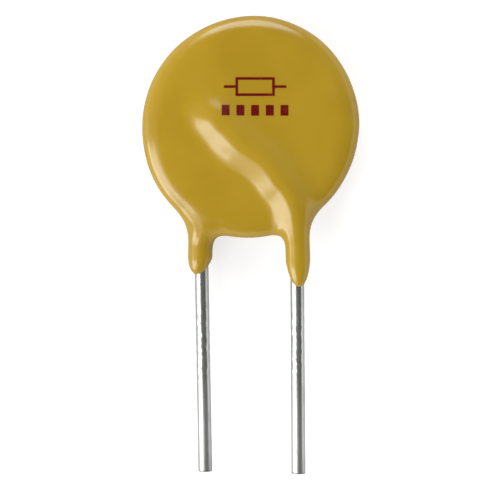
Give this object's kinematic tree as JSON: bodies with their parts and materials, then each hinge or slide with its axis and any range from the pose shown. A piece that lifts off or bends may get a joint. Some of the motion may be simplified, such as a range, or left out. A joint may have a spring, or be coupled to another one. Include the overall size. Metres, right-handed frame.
{
  "type": "resettable fuse",
  "caption": "Radial resettable fuse: a round, flat, mustard coloured dipped disc with a slanting ridge on each face and straight tinned wire leads leaving through necks of coating.",
  "frame": {"origin": "middle of the bounding box in plan, at the lowest point of the coating, where the part lies on its back", "axes": "+Z out of the front face of the disc, +X to its right as it is seen from the front, +Y from the lead ends to the top of the disc"},
  "size_m": [0.0128, 0.027, 0.0031],
  "materials": {
    "mustard_coating": "glossy dip coating",
    "conductive_polymer": "matte, carbon filled",
    "front_nickel_foil": "satin nickel",
    "back_nickel_foil": "satin nickel",
    "front_tinned_wire": "bright tin",
    "back_tinned_wire": "bright tin",
    "front_solder_metal": "dull solder",
    "back_solder_metal": "dull solder"
  },
  "bodies": {
    "root": {"coating": "mustard_coating", "ptc_core": "conductive_polymer", "front_foil": "front_nickel_foil", "back_foil": "back_nickel_foil", "front_lead": "front_tinned_wire", "back_lead": "back_tinned_wire", "front_solder": "front_solder_metal", "back_solder": "back_solder_metal"}
  },
  "joints": []
}
